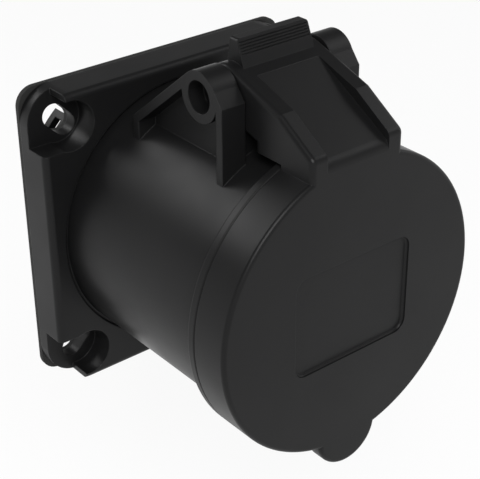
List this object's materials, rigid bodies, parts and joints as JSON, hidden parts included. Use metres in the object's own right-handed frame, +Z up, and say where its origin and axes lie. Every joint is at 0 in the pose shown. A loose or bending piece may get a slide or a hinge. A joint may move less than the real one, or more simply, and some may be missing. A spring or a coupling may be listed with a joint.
{
  "type": "industrial panel socket",
  "caption": "Round industrial panel socket with a square flange, sprung hinged lid and contact sleeves inside.",
  "frame": {"origin": "on the socket's axis in the plane of the panel, at the back of the panel gasket", "axes": "+X to the right seen from the front, +Y into the panel, +Z up towards the hinge"},
  "size_m": [0.075, 0.0837, 0.0962],
  "materials": {
    "shell_plastic": "satin",
    "insert_plastic": "satin",
    "seal_rubber": "matte",
    "pin_steel": "satin",
    "spring_steel": "satin",
    "screw_steel": "satin",
    "contact_brass": "satin"
  },
  "bodies": {
    "socket": {"housing": "shell_plastic", "panel_gasket": "seal_rubber", "carrier_seal": "seal_rubber", "hinge_pin": "pin_steel", "lid_spring": "spring_steel", "contact_carrier": "insert_plastic", "retaining_plate": "insert_plastic", "plate_screws": "screw_steel", "terminal_screws": "screw_steel", "contact_pe": "contact_brass", "sleeve_spring_pe": "spring_steel", "contact_l3": "contact_brass", "sleeve_spring_l3": "spring_steel", "contact_l2": "contact_brass", "sleeve_spring_l2": "spring_steel", "contact_l1": "contact_brass", "sleeve_spring_l1": "spring_steel", "contact_n": "contact_brass", "sleeve_spring_n": "spring_steel"},
    "lid": {"lid": "shell_plastic", "lid_gasket": "seal_rubber"}
  },
  "joints": [
    {"name": "lid_hinge", "type": "hinge", "parent": "socket", "child": "lid", "pos_m": [0, -0.0426, 0.0444], "axis": [-1, 0, 0], "range_deg": [0, 110], "stiffness_Nm_per_rad": 0.12, "springref_deg": -34.38, "deforming": ["lid_spring"]}
  ]
}
